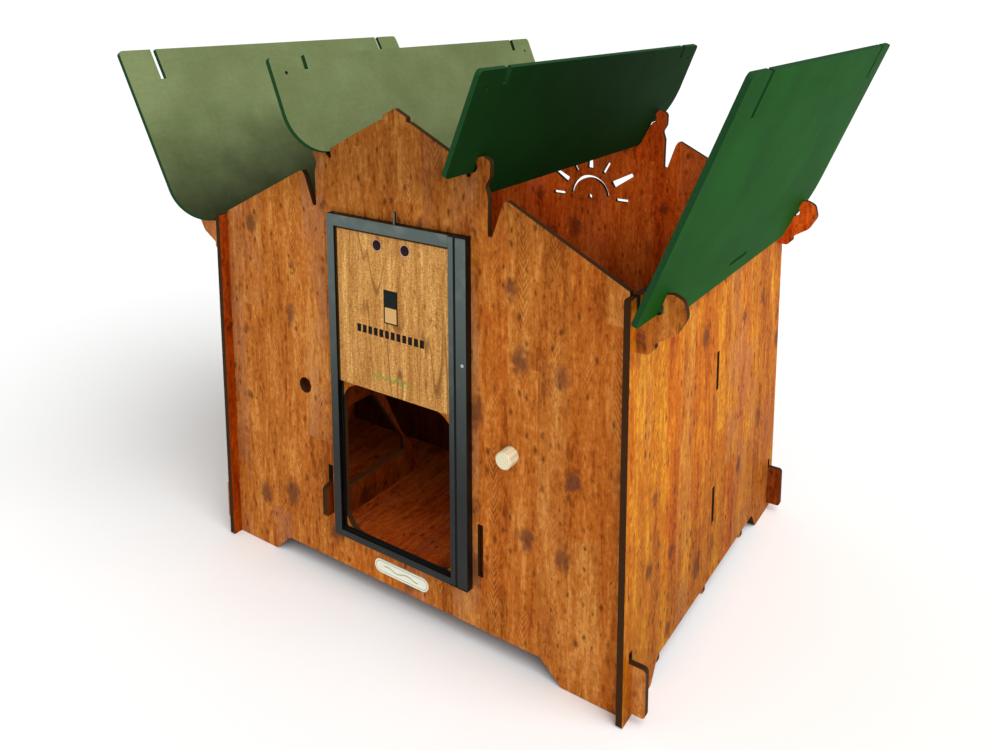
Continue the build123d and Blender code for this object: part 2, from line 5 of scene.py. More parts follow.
import bmesh
import bpy
from bpy.props import FloatProperty, FloatVectorProperty, PointerProperty
from mathutils import Color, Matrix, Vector


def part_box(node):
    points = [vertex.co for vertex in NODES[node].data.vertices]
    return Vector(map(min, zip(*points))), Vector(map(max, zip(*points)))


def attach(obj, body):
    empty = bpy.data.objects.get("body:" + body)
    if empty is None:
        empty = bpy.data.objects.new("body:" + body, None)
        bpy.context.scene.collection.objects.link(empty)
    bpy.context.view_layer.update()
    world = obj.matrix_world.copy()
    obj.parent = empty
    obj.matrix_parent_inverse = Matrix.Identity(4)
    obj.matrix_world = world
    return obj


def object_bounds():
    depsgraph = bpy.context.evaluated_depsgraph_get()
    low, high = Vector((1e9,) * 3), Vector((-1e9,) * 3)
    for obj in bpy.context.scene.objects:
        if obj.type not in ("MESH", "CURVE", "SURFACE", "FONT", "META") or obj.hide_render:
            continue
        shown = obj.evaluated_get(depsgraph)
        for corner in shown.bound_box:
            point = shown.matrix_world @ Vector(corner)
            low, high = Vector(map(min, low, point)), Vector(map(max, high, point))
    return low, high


bl_info = {
    "name": "Chicken Coop Looks",
    "version": (1, 0, 0),
    "blender": (4, 5, 0),
    "location": "3D View > Sidebar > Coop",
    "description": "Dresses the boards, roof and sliding door of a small chicken coop",
    "category": "Object",
}

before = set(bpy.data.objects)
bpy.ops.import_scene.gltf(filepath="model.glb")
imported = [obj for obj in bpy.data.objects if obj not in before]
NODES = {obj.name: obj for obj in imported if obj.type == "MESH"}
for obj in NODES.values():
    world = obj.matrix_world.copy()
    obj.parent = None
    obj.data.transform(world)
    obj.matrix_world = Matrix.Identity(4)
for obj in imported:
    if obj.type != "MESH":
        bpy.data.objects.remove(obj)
CAD_LOW, CAD_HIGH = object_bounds()

X = Vector((1, 0, 0))
Y = Vector((0, 1, 0))
Z = Vector((0, 0, 1))

# Axes of a board: across its grain, along its grain, through its thickness.
FACING_FRONT = (X, Z, Y)
FACING_SIDE = (Y, Z, X)
LYING = (X, Y, Z)
CROSSWISE = (Z, X, Y)

# Widths of the broken edges.
BOARD_ARRIS = 0.0007
ROOF_ARRIS = 0.0009
SMALL_ARRIS = 0.0004
MOTOR_ARRIS = 0.0003
SEAL_ARRIS = 0.0008


def srgb(red, green, blue):
    """Linear colour from 0-255 display values."""
    out = []
    for value in (red, green, blue):
        c = value / 255
        out.append(c / 12.92 if c <= 0.04045 else ((c + 0.055) / 1.055) ** 2.4)
    return tuple(out)


def tint(name, description, display):
    """Colour property whose default is given in display values."""
    return FloatVectorProperty(
        name=name, description=description, subtype="COLOR", size=3, min=0, max=1, default=srgb(*display)
    )


def length(name, description, default):
    """Length property in metres."""
    return FloatProperty(name=name, description=description, default=default, min=0, unit="LENGTH")


def share(name, description, default):
    """Property that runs from 0 to 1."""
    return FloatProperty(name=name, description=description, default=default, min=0, max=1, subtype="FACTOR")


# ---------------------------------------------------------------------- settings
class COOP_PG_boards(bpy.types.PropertyGroup):
    """Wood-effect compact boards."""

    light: tint("Light grain", "Palest wood between the grain lines", (212, 142, 68))
    middle: tint("Middle grain", "Usual wood colour", (184, 106, 38))
    dark: tint("Dark grain", "Darkest streaks of the wood", (142, 70, 20))
    side_light: tint("Side light grain", "Palest wood of the side boards", (228, 156, 38))
    side_middle: tint("Side middle grain", "Usual wood colour of the side boards", (196, 112, 22))
    side_dark: tint("Side dark grain", "Darkest streaks of the side boards", (156, 72, 10))
    # Painted light and shade: a redder, darker cast on the inward faces, for the dim light bounced about inside the
    # coop.
    inner: tint("Inner faces", "Redder cast of the faces that look inwards", (255, 190, 160))
    knot: tint("Knots", "Grey brown of the knots", (98, 62, 44))
    core: tint("Core", "Dark core seen on the cut edges", (48, 24, 13))
    # The pale line along the cut edges is partly wear and partly painted highlight.
    arris: tint("Worn arris", "Pale worn line along the cut edges", (176, 132, 96))
    stave_width: length("Stave width", "Width of the printed staves", 0.052)
    stave_length: length("Stave length", "Length of the printed staves", 0.46)
    roughness: share("Roughness", "Roughness of the printed face", 0.5)


class COOP_PG_roof(bpy.types.PropertyGroup):
    """Green roof boards."""

    outside: tint("Outside", "Weather face of the outer roof boards", (15, 72, 15))
    # Painted shade: the inner roof boards' weather face is a darker copy of the outside green.
    crown_shaded: tint("Crown", "Weather face of the inner roof boards", (16, 48, 16))
    # The paler underside is partly its own colour and partly painted sheen.
    inside: tint("Inside", "Underside of the roof boards", (106, 118, 76))
    edge: tint("Edge", "Cut edge of the roof boards", (24, 60, 30))
    roughness: share("Roughness", "Roughness of the green faces", 0.62)


class COOP_PG_door(bpy.types.PropertyGroup):
    """Sliding door, its frame and its drive."""

    oak_light: tint("Oak, light", "Palest oak of the leaf", (240, 190, 112))
    oak_middle: tint("Oak, middle", "Usual oak colour of the leaf", (200, 142, 72))
    oak_dark: tint("Oak, dark", "Grain lines of the leaf", (128, 78, 30))
    metal: tint("Profile", "Anodised profiles", (76, 87, 84))
    black: tint("Black parts", "Plastic and rubber parts", (12, 12, 12))
    rim: tint("Window rims", "Metal rims of the windows", (216, 180, 170))
    steel: tint("Screws", "Bright screws", (206, 206, 202))
    mark: tint("Printed mark", "Plain green mark on the leaf and label", (120, 150, 60))


class COOP_PG_fittings(bpy.types.PropertyGroup):
    """Perch and label."""

    birch_light: tint("Birch, light", "Palest birch of the perch", (240, 232, 200))
    birch_dark: tint("Birch, dark", "Grain lines of the perch", (206, 188, 140))
    plate: tint("Label plate", "Cream plate under the door", (250, 250, 234))


class COOP_PG_stage(bpy.types.PropertyGroup):
    """Floor and lights."""

    floor: tint("Floor", "Pale studio floor", (252, 252, 252))
    sky: FloatProperty(name="Soft light", description="Strength of the all-round light", default=0.5, min=0)
    key: FloatProperty(name="Key light", description="Strength of the broad light on the right", default=2.6, min=0)
    softness: FloatProperty(
        name="Softness", description="Angle that the broad light fills", default=math.radians(60), min=0,
        subtype="ANGLE"
    )


# ------------------------------------------------------------------ shader helper
class Shade:
    """A material and short calls that lay its nodes."""

    def __init__(self, name, **constants):
        self.material = bpy.data.materials.new(name)
        self.material.use_nodes = True
        self.tree = self.material.node_tree
        self.surface = self.tree.nodes["Principled BSDF"]
        for socket, value in constants.items():
            self.surface.inputs[socket.replace("_", " ").title().replace("Ior", "IOR")].default_value = value
        self.coordinates = None

    def node(self, kind, inputs=(), **settings):
        """New node with its settings and inputs."""
        made = self.tree.nodes.new(kind)
        for key, value in settings.items():
            setattr(made, key, value)
        for key, value in dict(inputs).items():
            self.put(value, made.inputs[key])
        return made

    def put(self, value, socket):
        """Link a socket, or set a constant."""
        if isinstance(value, bpy.types.NodeSocket):
            self.tree.links.new(value, socket)
        elif isinstance(value, (tuple, Vector, Color)):
            channels = list(value)
            if len(socket.default_value) == 4 and len(channels) == 3:
                channels.append(1.0)
            socket.default_value = channels
        else:
            socket.default_value = value

    def here(self, which="Object"):
        """Texture coordinate of the shaded point."""
        if self.coordinates is None:
            self.coordinates = self.node("ShaderNodeTexCoord")
        return self.coordinates.outputs[which]

    # numbers
    def math(self, operation, a, b=0.0, c=0.0):
        made = self.node("ShaderNodeMath", {0: a, 1: b, 2: c}, operation=operation)
        return made.outputs[0]

    def chain(self, operation, values):
        """The same operation over several values, from the left."""
        result = values[0]
        for value in values[1:]:
            result = self.math(operation, result, value)
        return result

    def total(self, *values):
        return self.chain("ADD", values)

    def product(self, *values):
        return self.chain("MULTIPLY", values)

    def largest(self, *values):
        return self.chain("MAXIMUM", values)

    def inverse(self, value):
        """1 less the value."""
        return self.math("SUBTRACT", 1.0, value)

    def swing(self, value, amount):
        """Texture value about 0.5 turned into a swing about 0."""
        return self.product(self.math("SUBTRACT", value, 0.5), amount)

    def band(self, value, start, end):
        """Smooth step from 0 at start to 1 at end."""
        inputs = {"Value": value, "From Min": start, "From Max": end}
        return self.node("ShaderNodeMapRange", inputs, interpolation_type="SMOOTHSTEP").outputs["Result"]

    def span(self, value, low, high):
        """Value from 0-1 spread over low-high."""
        inputs = {"Value": value, "To Min": low, "To Max": high}
        return self.node("ShaderNodeMapRange", inputs).outputs["Result"]

    # places
    def dot(self, a, b):
        made = self.node("ShaderNodeVectorMath", {0: a, 1: b}, operation="DOT_PRODUCT")
        return made.outputs["Value"]

    def joined(self, x, y, z=0.0):
        return self.node("ShaderNodeCombineXYZ", {0: x, 1: y, 2: z}).outputs[0]

    def parts(self, value):
        return self.node("ShaderNodeSeparateXYZ", {0: value}).outputs

    # textures
    def noise(self, place, scale, detail=2.0, rough=0.5, bend=0.0):
        inputs = {"Vector": place, "Scale": scale, "Detail": detail, "Roughness": rough, "Distortion": bend}
        return self.node("ShaderNodeTexNoise", inputs).outputs["Fac"]

    def cells(self, place, scale):
        """Distance to the nearest cell centre in a plane, and that cell's random colour."""
        made = self.node("ShaderNodeTexVoronoi", {"Vector": place, "Scale": scale}, voronoi_dimensions="2D")
        return made.outputs["Distance"], made.outputs["Color"]

    def random(self, place):
        """Random value and random colour of a place."""
        made = self.node("ShaderNodeTexWhiteNoise", {"Vector": place}, noise_dimensions="3D")
        return made.outputs["Value"], made.outputs["Color"]

    # colours
    def blend(self, factor, a, b, mode="MIX"):
        made = self.node("ShaderNodeMix", data_type="RGBA", blend_type=mode, clamp_factor=True)
        for value, socket in zip((factor, a, b), (0, 6, 7)):
            self.put(value, made.inputs[socket])
        return made.outputs[2]

    def laid(self, colour, mask, amount, over):
        """Colour with another laid over it where the mask shows, by amount at most."""
        return self.blend(self.product(mask, amount), colour, over)

    def stained(self, colour, stain):
        """Colour multiplied by another."""
        return self.blend(1.0, colour, stain, "MULTIPLY")

    def lit(self, colour, brightness):
        """Colour with the same brightness laid on all three channels."""
        return self.stained(colour, self.joined(brightness, brightness, brightness))

    def shaded(self, colour, value, start, end, first, last):
        """Colour whose brightness goes from first to last while value goes from start to end."""
        return self.lit(colour, self.span(self.band(value, start, end), first, last))

    # results
    def bump(self, height, strength, distance):
        inputs = {"Height": height, "Strength": strength, "Distance": distance}
        made = self.node("ShaderNodeBump", inputs)
        self.put(made.outputs[0], self.surface.inputs["Normal"])

    def finish(self, colour, roughness=None):
        self.put(colour, self.surface.inputs["Base Color"])
        if roughness is not None:
            self.put(roughness, self.surface.inputs["Roughness"])
        return self.material


class Grain:
    """Board coordinates: u across the grain, v along it, w through the board."""

    def __init__(self, shade, across, along, through):
        self.shade = shade
        place = shade.here()
        self.u = shade.dot(place, across)
        self.v = shade.dot(place, along)
        self.w = shade.dot(place, through)
        self.facing = shade.dot(shade.here("Normal"), through)
        self.flat = shade.math("ABSOLUTE", self.facing)

    def drawn(self, along, layer=0.0, across=None):
        """Texture place in a layer of its own, drawn out along the grain by 1 / along."""
        return self.shade.joined(self.u if across is None else across, self.shade.product(self.v, along), layer)

    def inside(self, left, right, low, high):
        """1 inside a rectangle of the board's face."""
        s = self.shade
        wide = s.product(s.math("GREATER_THAN", self.u, left), s.math("LESS_THAN", self.u, right))
        tall = s.product(s.math("GREATER_THAN", self.v, low), s.math("LESS_THAN", self.v, high))
        return s.product(wide, tall)

    def edges(self, scale, least, most):
        """Mask of the flat faces, and of the pale line where they turn into the broken edge, partly wear and partly
        painted highlight.
        """
        s = self.shade
        on_face = s.band(self.flat, 0.72, 0.80)
        turning = s.product(on_face, s.inverse(s.band(self.flat, 0.90, 0.985)))
        return on_face, s.product(turning, s.span(s.noise(s.here(), scale, 3), least, most))


# ------------------------------------------------------------------ wood finishes
KNOT_CELLS = 10.5    # Voronoi scale of the knots
KNOT_SIZE = 0.27     # radius of the largest knot in its cell
RIDGE_SHADE = (0.62, 0.76, 1.0, 0.62)    # painted shade: front and back boards darken towards the ridge
GROUND_SHADE = (0.0, 0.45, 0.62, 0.95)     # painted shade: side boards darken towards the ground
INNER_SHADE_HEIGHTS = (0.30, 0.62)             # heights over which painted light and shade brighten the inner faces
FLOOR_SHADE_REACH = (-0.27, -0.05)            # depths over which painted shade darkens the floor towards the back


def staves(s, grain, look, seed):
    """Random value and colour of each printed stave."""
    column = s.math("FLOOR", s.math("DIVIDE", grain.u, look.stave_width))
    shift, _ = s.random(s.joined(column, seed, 3.0))
    row = s.math("FLOOR", s.total(s.math("DIVIDE", grain.v, look.stave_length), shift))
    return s.random(s.joined(column, row, seed + 7.0))


def knots(s, grain, seed):
    """Mask of soft round knots, and the swelling that they give the grain lines."""
    wander = s.swing(s.noise(s.joined(grain.u, grain.v, seed), 60, 3), 0.030)
    along = s.math("MULTIPLY_ADD", grain.v, 0.72, wander)
    away, colour = s.cells(s.joined(s.total(grain.u, seed * 1.37, wander), along), KNOT_CELLS)
    chance, size, _ = s.parts(colour)
    near = s.math("DIVIDE", away, s.span(size, 0.3 * KNOT_SIZE, KNOT_SIZE))
    mask = s.inverse(s.band(near, 0.25, 1.0))
    shown = s.band(chance, 0.2, 0.7)
    swell = s.math("EXPONENT", s.product(near, -1.1))
    return s.product(mask, shown), s.product(swell, shown)


def specks(s, grain, seed, fine, rare):
    """Short dark dashes along the grain."""
    bent = s.swing(s.noise(s.joined(grain.u, grain.v, seed), 90, 2), 0.010)
    across = s.total(s.math("MULTIPLY_ADD", grain.u, 2.0, seed * 0.71), bent)
    away, colour = s.cells(s.joined(across, grain.v), fine)
    chance, size, _ = s.parts(colour)
    near = s.math("DIVIDE", away, s.span(size, 0.14, 0.42))
    mask = s.inverse(s.band(near, 0.1, 1.0))
    return s.product(mask, s.band(chance, rare, 1.0))


def ripples(s, grain, width, cloud):
    """Troughs and crests of the nested arcs down the middle of each stave."""
    across = s.math("SUBTRACT", s.math("FRACT", s.math("DIVIDE", grain.u, width)), 0.5)
    aside = s.math("ABSOLUTE", across)
    bent = s.math("MULTIPLY_ADD", cloud, 0.05, s.product(aside, 0.11))
    arcs = s.math("PINGPONG", s.math("DIVIDE", s.math("SUBTRACT", grain.v, bent), 0.0058), 1.0)
    shown = s.product(s.inverse(s.band(aside, 0.06, 0.26)), s.band(cloud, 0.46, 0.62))
    trough = s.product(shown, s.band(arcs, 0.62, 0.95))
    crest = s.product(shown, s.inverse(s.band(arcs, 0.05, 0.35)))
    return trough, crest


def wood_print(s, grain, seed, look, palette):
    """Colour of the printed wood, and its fibre, mottle and pits."""
    light, middle, dark = palette
    stave, stave_colour = staves(s, grain, look, seed)
    offset, cool, warmth = s.parts(stave_colour)
    knot, swell = knots(s, grain, seed)
    cloud = s.noise(grain.drawn(0.5, seed + 4), 14, 4, 0.6)
    bands = s.noise(grain.drawn(0.13, seed + 6), 27, 3, 0.55)
    around = s.math("MULTIPLY_ADD", swell, 0.012, s.math("MULTIPLY_ADD", offset, 0.3, grain.u))
    streak = s.noise(grain.drawn(0.15, seed + 2, around), 95, 5, 0.72, 0.5)
    mottle = s.noise(grain.drawn(0.55, seed + 5), 150, 4, 0.7, 0.4)
    fibre = s.noise(grain.drawn(0.06, seed), 430, 3, 0.65)

    tone = s.total(s.swing(streak, 1.9), s.swing(bands, 1.6), s.swing(stave, 0.22), s.swing(mottle, 1.5), 0.5)
    colour = s.blend(s.band(tone, 0.0, 0.52), dark, middle)
    colour = s.blend(s.band(tone, 0.48, 1.0), colour, light)
    colour = s.laid(colour, s.band(warmth, 0.5, 0.95), 0.55, s.stained(colour, srgb(255, 216, 170)))
    greyer = s.blend(0.34, colour, srgb(176, 124, 92))
    colour = s.laid(colour, s.band(cool, 0.6, 0.95), s.band(cloud, 0.38, 0.6), greyer)
    trough, crest = ripples(s, grain, look.stave_width, cloud)
    colour = s.laid(colour, trough, 0.6, dark)
    colour = s.laid(colour, crest, 0.6, light)
    colour = s.lit(colour, s.span(fibre, 0.70, 1.28))

    colour = s.laid(colour, s.band(swell, 0.25, 0.75), 0.6, s.stained(colour, srgb(206, 178, 156)))
    colour = s.laid(colour, knot, 0.66, look.knot)
    dash = specks(s, grain, seed, fine=36, rare=0.45)
    fleck = specks(s, grain, seed + 3, fine=95, rare=0.3)
    colour = s.laid(colour, dash, 0.9, srgb(104, 54, 18))
    colour = s.laid(colour, fleck, 0.5, srgb(126, 66, 24))
    return colour, fibre, mottle, s.largest(knot, s.largest(dash, trough))


def board_finish(name, axes, seed, look, palette, inner_side=0, inner_shade=(1, 1), outer_shade=None, shade_reach=INNER_SHADE_HEIGHTS):
    """Printed wood on both faces of a board, and a dark core on its cut edges, with a pale line along the
    broken edges that is partly wear and partly painted highlight.

    inner_side is the side of the board that looks inwards. Those faces get painted light and shade: a
    redder, darker cast, and inner_shade, their brightness at the two ends of shade_reach, up the coop or
    along a lying board. outer_shade is painted shade on the outer face: its brightness between two
    heights, given as start, end, first, last.
    """
    s = Shade(name, specular_ior_level=0.02)
    grain = Grain(s, *axes)
    height = s.parts(s.here())[2]
    colour, fibre, mottle, pits = wood_print(s, grain, seed, look, palette)
    # Painted shade: the outer face darkens between two heights.
    shown = s.shaded(colour, height, *outer_shade) if outer_shade else colour
    if inner_side:
        inside = s.math("GREATER_THAN", s.product(grain.facing, inner_side), 0.5)
        # Painted light and shade on the inward faces: a redder, darker cast whose brightness runs with height, or
        # with depth on a lying board.
        inward_painted_cast = s.stained(colour, look.inner)
        shown = s.blend(inside, shown, s.shaded(inward_painted_cast, grain.v if axes is LYING else height, *shade_reach, *inner_shade))

    layers = s.noise(s.joined(s.product(grain.w, 30), s.total(grain.u, grain.v)), 60, 2)
    core = s.blend(s.span(layers, 0.0, 0.9), look.core, srgb(70, 50, 28))
    # The pale line on the broken edges is partly wear and partly painted highlight.
    on_face, wear_and_highlight = grain.edges(34, 0.35, 1.0)
    shown = s.blend(wear_and_highlight, s.blend(on_face, core, shown), look.arris)

    relief = s.total(s.product(fibre, 0.5), s.product(mottle, 0.4), s.product(pits, -0.4))
    s.bump(relief, 0.25, 0.0006)
    return s.finish(shown, s.total(s.span(fibre, -0.07, 0.07), s.product(pits, 0.08), look.roughness))


# Printed marks on the leaf: places across it and heights, with the door raised.
PRINT_LEFT = -0.078              # left end of the row of blocks
PRINT_PITCH = 0.0118             # one block and its gap
PRINT_BLOCKS = 11.7              # the last block has no gap after it
PRINT_FILLED = 0.70              # share of the pitch that a block fills
PRINT_ROW = (0.4710, 0.4840)
WAVE_HEIGHT = 0.4035
WAVE_BOX = (-0.046, 0.032, 0.395, 0.412)
WAVE_HALF_WIDTH = 0.0026
LEAF_SEEN = (-0.1215, 0.1105, 0.641)    # left, right and top edges of the part that the lips leave open


def oak_wood(s, grain, look):
    """Oak colour, and its fibre, ripple and pores."""
    place = grain.drawn(0.11, 2.0)
    figure = s.noise(place, 17, 1.6, 0.45, 0.3)
    rings = s.math("PINGPONG", s.product(figure, 24.0), 1.0)
    heart = s.band(s.noise(grain.drawn(0.3, 6.0), 12, 2), 0.42, 0.62)
    line = s.product(s.band(rings, 0.70, 1.0), s.span(heart, 0.35, 1.3))
    fibre = s.noise(grain.drawn(0.05, 5.0), 520, 3, 0.65)
    streak = s.noise(grain.drawn(0.06, 1.0), 75, 4, 0.65)
    ripple = s.noise(s.joined(s.product(grain.u, 0.7), grain.v, 3.0), 330, 3, 0.65, 0.3)
    broad = s.noise(grain.drawn(0.3, 9.0), 13, 3)
    tone = s.total(s.swing(fibre, 0.9), s.swing(streak, 1.7), s.swing(ripple, 1.6), s.swing(broad, 0.9), 0.42)
    colour = s.blend(s.band(tone, 0.0, 0.45), srgb(168, 108, 46), look.oak_middle)
    colour = s.blend(s.band(tone, 0.4, 1.0), colour, look.oak_light)
    colour = s.laid(colour, line, 0.62, look.oak_dark)
    away, chance = s.cells(grain.drawn(0.18), 420)
    pore = s.product(s.math("LESS_THAN", away, 0.32), s.band(s.parts(chance)[0], 0.4, 1.0))
    colour = s.laid(colour, pore, 0.5, look.oak_dark)
    colour = s.laid(colour, specks(s, grain, 11.0, fine=48, rare=0.7), 0.6, srgb(96, 54, 22))
    return colour, fibre, ripple, s.largest(line, pore)


def oak_leaf_finish(look):
    """Light oak of the door leaf, with its plain printed marks and a painted shadow line along the edges of the
    frame's lips.
    """
    s = Shade("door oak", specular_ior_level=0.08)
    grain = Grain(s, *FACING_FRONT)
    colour, fibre, ripple, pores = oak_wood(s, grain, look)
    front = s.math("LESS_THAN", grain.facing, -0.5)

    row = grain.inside(PRINT_LEFT, PRINT_LEFT + PRINT_BLOCKS * PRINT_PITCH, *PRINT_ROW)
    phase = s.math("FRACT", s.math("DIVIDE", s.math("SUBTRACT", grain.u, PRINT_LEFT), PRINT_PITCH))
    blocks = s.product(row, s.math("LESS_THAN", phase, PRINT_FILLED))
    colour = s.laid(colour, blocks, front, srgb(20, 14, 10))

    wave = s.product(s.math("SINE", s.product(grain.u, 380.0)), 0.0032)
    rise = s.math("ABSOLUTE", s.math("SUBTRACT", s.math("SUBTRACT", grain.v, WAVE_HEIGHT), wave))
    green = s.product(s.math("LESS_THAN", rise, WAVE_HALF_WIDTH), grain.inside(*WAVE_BOX))
    faded = s.product(green, front, s.span(s.noise(grain.drawn(0.11, 2.0), 400, 2), 0.45, 1.0))
    colour = s.blend(faded, colour, look.mark)

    left, right, top = LEAF_SEEN
    # Painted shadow: a dark line on the leaf where the frame's lips cover it.
    left_lip_shadow = s.band(grain.u, left + 0.004, left + 0.0025)
    right_lip_shadow = s.band(grain.u, right - 0.003, right - 0.0015)
    top_lip_shadow = s.band(grain.v, top - 0.005, top - 0.0035)
    colour = s.laid(colour, s.largest(left_lip_shadow, right_lip_shadow, top_lip_shadow), 0.93, srgb(14, 10, 8))
    colour = s.blend(s.inverse(s.band(grain.flat, 0.5, 0.9)), colour, srgb(150, 108, 66))
    s.bump(s.total(fibre, s.product(ripple, 0.5), s.product(pores, -0.5)), 0.2, 0.0005)
    return s.finish(colour, s.span(fibre, 0.42, 0.6))


def perch_finish(look, centre):
    """Birch dowel: long fibres on the bar and rings on its ends."""
    s = Shade("perch birch", specular_ior_level=0.35)
    grain = Grain(s, *FACING_FRONT)
    stretched = s.joined(grain.u, grain.v, s.product(grain.w, 0.03))
    fibre = s.noise(stretched, 380, 3, 0.6)
    streak = s.noise(stretched, 70, 2)
    bar = s.math("MULTIPLY_ADD", s.math("SUBTRACT", fibre, 0.5), 0.7, streak)
    from_pith_x = s.math("SUBTRACT", grain.u, centre.x - 0.004)
    from_pith_z = s.math("SUBTRACT", grain.v, centre.z + 0.003)
    radius = s.math("SQRT", s.total(s.math("POWER", from_pith_x, 2.0), s.math("POWER", from_pith_z, 2.0)))
    wobble = s.product(s.noise(stretched, 120, 2), 0.0016)
    rings = s.math("PINGPONG", s.math("DIVIDE", s.total(radius, wobble), 0.0017), 1.0)
    ends = s.band(grain.flat, 0.6, 0.95)
    value = s.total(s.product(bar, s.inverse(ends)), s.product(s.span(rings, 0.42, 0.68), ends))
    colour = s.blend(s.band(value, 0.25, 0.72), look.birch_dark, look.birch_light)
    s.bump(fibre, 0.15, 0.0004)
    return s.finish(colour, s.span(fibre, 0.48, 0.66))


# ----------------------------------------------------------------- other finishes
def roof_finish(name, look, outside, foot_shade, lean, side, seed):
    """Matt green board: deep outside, paler underside whose colour is partly painted sheen and which painted
    shade darkens to `foot_shade` at its foot, dark cut edge, and a pale line of wear and painted highlight on the
    arris.
    """
    s = Shade(name, specular_ior_level=0.03)
    through = Vector((math.cos(lean) * side, 0, -math.sin(lean)))
    up = Vector((math.sin(lean) * side, 0, math.cos(lean)))
    grain = Grain(s, Y, up, through)
    foot = min(up.dot(vertex.co) for vertex in NODES[name].data.vertices)
    place = s.joined(grain.u, grain.v, seed)
    cloud = s.noise(place, 7, 4, 0.55)
    grit = s.noise(place, 1300, 2, 0.7)
    mottle = s.noise(place, 120, 4, 0.6)
    strokes = s.noise(s.joined(s.product(grain.u, 0.06), grain.v, seed), 260, 2)

    fresh = tuple(c * 1.35 for c in outside)
    outer = s.blend(s.band(cloud, 0.3, 0.72), outside, fresh)
    # The paler underside colour is partly its own and partly painted sheen.
    inner = s.blend(s.band(cloud, 0.3, 0.72), look.inside, srgb(120, 132, 90))
    shade_height = s.total(grain.v, s.swing(cloud, 0.12))
    # Painted shade: the underside darkens towards its foot.
    inner = s.shaded(inner, shade_height, foot, foot + 0.30, foot_shade, 1.0)
    colour = s.blend(s.math("GREATER_THAN", grain.facing, 0.0), inner, outer)
    colour = s.lit(colour, s.total(s.span(mottle, 0.86, 1.14), s.span(strokes, -0.07, 0.07)))
    dusty = s.blend(0.25, colour, srgb(150, 176, 140))
    colour = s.laid(colour, s.band(grit, 0.6, 0.8), 0.35, dusty)

    edge = s.blend(s.noise(s.here(), 220, 2), look.edge, srgb(34, 74, 40))
    on_face, wear_and_highlight = grain.edges(50, 0.0, 0.75)
    # The pale green line along the broken edges is partly wear and partly painted highlight.
    colour = s.blend(wear_and_highlight, s.blend(on_face, edge, colour), srgb(112, 150, 110))
    s.bump(s.total(grit, s.product(mottle, 0.5)), 0.12, 0.0003)
    rough = s.total(s.span(mottle, -0.06, 0.06), s.math("MULTIPLY_ADD", grit, 0.08, look.roughness))
    return s.finish(colour, rough)


def anodised_finish(name, look, along, seed):
    """Anodised aluminium with fine lines along it: grey on its face, darker towards the ground and black on the
    faces that turn away from the front, in painted light and shade.
    """
    s = Shade(name, metallic=0.3, specular_ior_level=0.3)
    grain = Grain(s, X + Y if along is Z else Z + Y, along, Y)
    lines = s.noise(grain.drawn(0.01, seed), 1500, 2, 0.6)
    haze = s.noise(s.here(), 24, 3)
    dull = s.stained(look.metal, srgb(205, 205, 205))
    colour = s.blend(s.span(lines, 0.25, 0.8), dull, look.metal)
    colour = s.laid(colour, s.band(haze, 0.5, 0.75), 0.35, srgb(108, 116, 108))
    # Painted light and shade: darker towards the ground, brighter up high.
    colour = s.shaded(colour, s.parts(s.here())[2], 0.22, 0.66, 0.16, 1.5)
    # Painted shade: the faces that turn away from the front, such as the inner lip edges, are near black.
    colour = s.blend(s.band(grain.flat, 0.55, 0.9), srgb(10, 11, 9), colour)
    s.bump(lines, 0.08, 0.0002)
    return s.finish(colour, s.total(s.span(lines, 0.34, 0.46), s.span(haze, -0.05, 0.07)))


def plastic_finish(name, colour, roughness, grain_scale=900, lift=1.5):
    """Moulded plastic or rubber with a fine eroded skin and dusty patches."""
    s = Shade(name, specular_ior_level=0.12)
    skin = s.noise(s.here(), grain_scale, 3, 0.6)
    dust = s.noise(s.here(), 40, 3)
    paler = tuple(min(1.0, c * lift + 0.002) for c in colour)
    shown = s.laid(colour, s.band(dust, 0.45, 0.75), 0.6, paler)
    s.bump(skin, 0.14, 0.0002)
    rough = s.total(s.span(skin, -0.05, 0.05), s.math("MULTIPLY_ADD", dust, 0.12, roughness - 0.05))
    return s.finish(shown, rough)


def metal_finish(name, colour, roughness, along):
    """Bright metal with turned or drawn lines."""
    s = Shade(name, metallic=0.9, specular_ior_level=0.5)
    stretch = s.node("ShaderNodeMapping", {"Vector": s.here(), "Scale": along}).outputs[0]
    lines = s.noise(stretch, 1800, 2)
    stain = s.noise(s.here(), 160, 3)
    shown = s.blend(s.span(lines, 0.0, 0.6), colour, tuple(c * 0.72 for c in colour))
    shown = s.laid(shown, s.band(stain, 0.55, 0.8), 0.3, tuple(c * 0.5 for c in colour))
    s.bump(lines, 0.08, 0.0001)
    return s.finish(shown, s.total(s.span(lines, -0.06, 0.08), s.math("MULTIPLY_ADD", stain, 0.12, roughness)))


def badge_finish(low, high):
    """Plate with a black upper half and a pale framed lower half."""
    s = Shade("badge plate", specular_ior_level=0.08)
    x, _, z = s.parts(s.here())
    border = 0.0022
    left = s.math("LESS_THAN", x, low.x + border)
    right = s.math("GREATER_THAN", x, high.x - border)
    bottom = s.math("LESS_THAN", z, low.z + border)
    top = s.math("GREATER_THAN", z, (low.z + high.z) / 2 - 0.0006)
    dark = s.largest(s.largest(left, right), s.largest(bottom, top))
    scratch = s.noise(s.here(), 700, 3)
    pale = s.blend(scratch, srgb(206, 158, 94), srgb(226, 182, 118))
    black = s.blend(scratch, srgb(8, 16, 14), srgb(24, 34, 30))
    s.bump(scratch, 0.06, 0.0002)
    return s.finish(s.blend(dark, pale, black), s.span(scratch, 0.26, 0.42))


